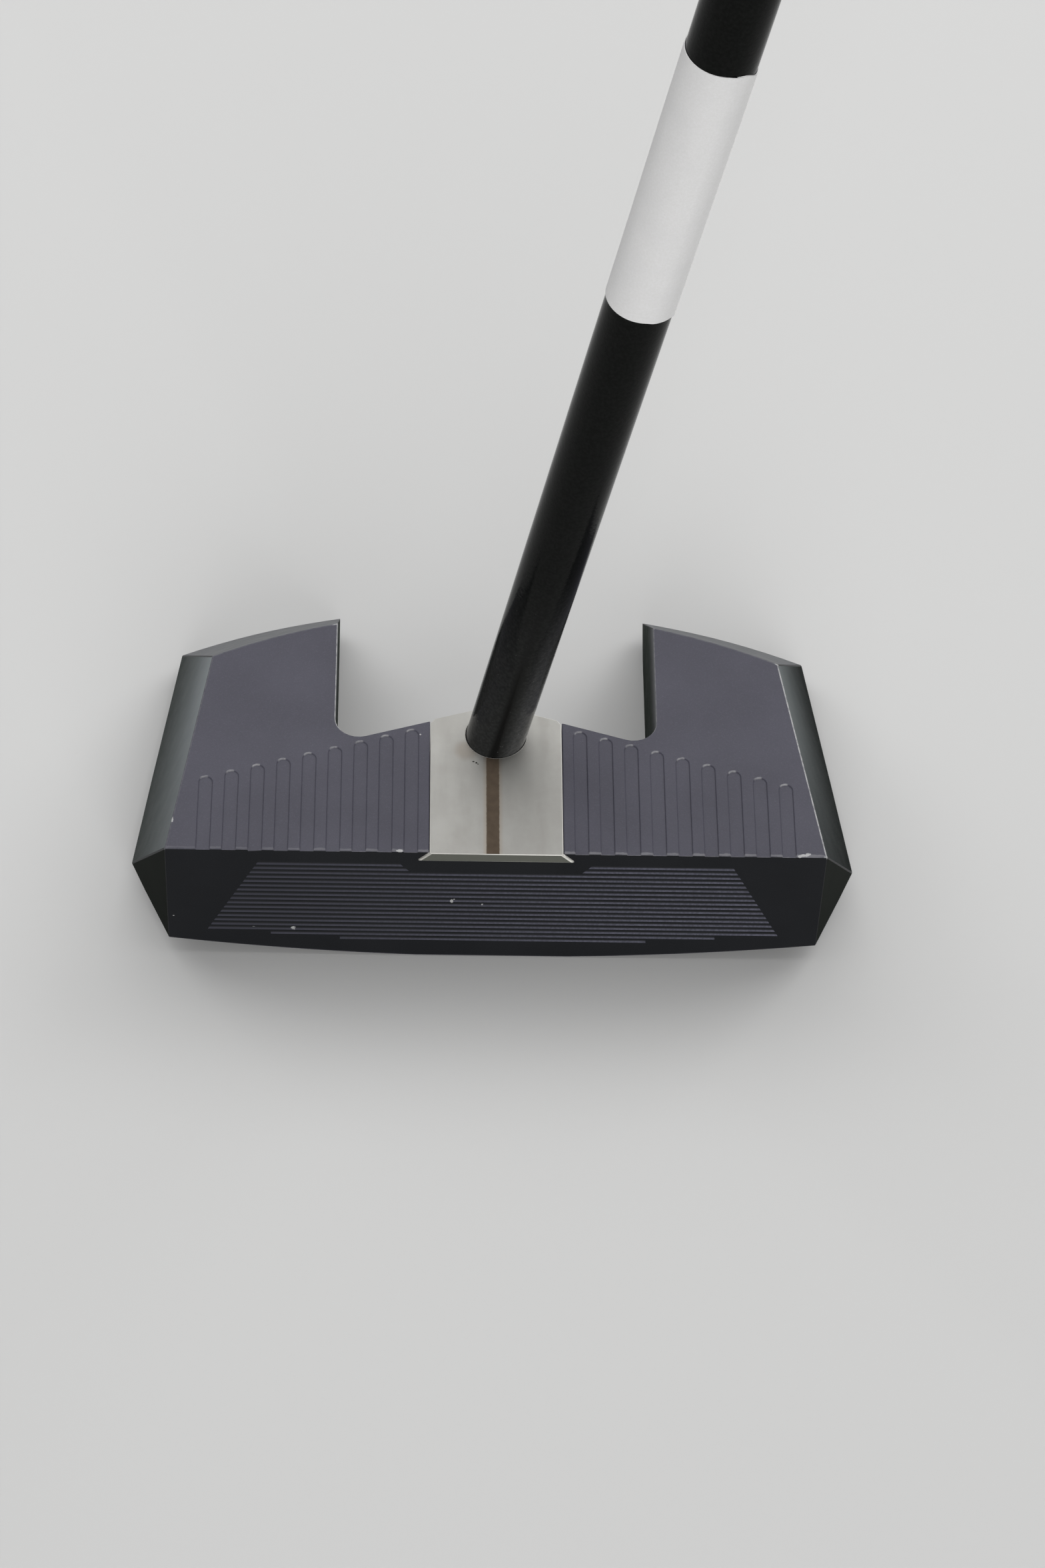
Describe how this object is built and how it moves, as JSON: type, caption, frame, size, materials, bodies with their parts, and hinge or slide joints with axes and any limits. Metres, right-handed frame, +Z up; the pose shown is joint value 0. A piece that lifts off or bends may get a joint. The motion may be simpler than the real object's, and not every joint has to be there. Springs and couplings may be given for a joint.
{
  "type": "mallet putter",
  "caption": "Right-handed mallet putter: slotted dark head with a rear notch and a bare steel centre block, thin leaning shaft that enters the block, and a grip with a flat thumb side.",
  "frame": {"origin": "on the flat middle of the sole, straight below the point where the shaft's axis meets the head's flat top", "axes": "+Z up, +X towards the heel, -Y the direction in which the face looks; the toe is at -X and the notch at +Y"},
  "size_m": [0.2297, 0.0685, 0.8761],
  "materials": {
    "anodised_body": "dark anodised, finely blasted, bare metal showing on worn edges",
    "block_steel": "satin stainless steel",
    "screw_steel": "black oxide",
    "weight_metal": "plain grey sintered metal",
    "shaft_paint": "semi-gloss black paint with a fine orange-peel texture",
    "plug_rubber": "dull",
    "label_paper": "plain matte paper, bare",
    "grip_tape": "creased cloth tape",
    "grip_foam": "closed-cell foam",
    "grip_skin": "soft matte polyurethane with a fine pattern"
  },
  "bodies": {
    "root": {"head_body": "anodised_body", "center_block": "block_steel", "block_screw_1": "screw_steel", "block_screw_2": "screw_steel", "block_screw_3": "screw_steel", "block_screw_4": "screw_steel", "sole_weight_toe_1": "weight_metal", "sole_weight_toe_2": "weight_metal", "sole_weight_toe_3": "weight_metal", "sole_weight_toe_4": "weight_metal", "sole_weight_heel_1": "weight_metal", "sole_weight_heel_2": "weight_metal", "sole_weight_heel_3": "weight_metal", "sole_weight_heel_4": "weight_metal", "shaft": "shaft_paint", "shaft_tip_plug": "plug_rubber", "shaft_label": "label_paper", "grip_tape": "grip_tape", "grip_core": "grip_foam", "grip_skin": "grip_skin", "grip_cap": "grip_skin"}
  },
  "joints": []
}
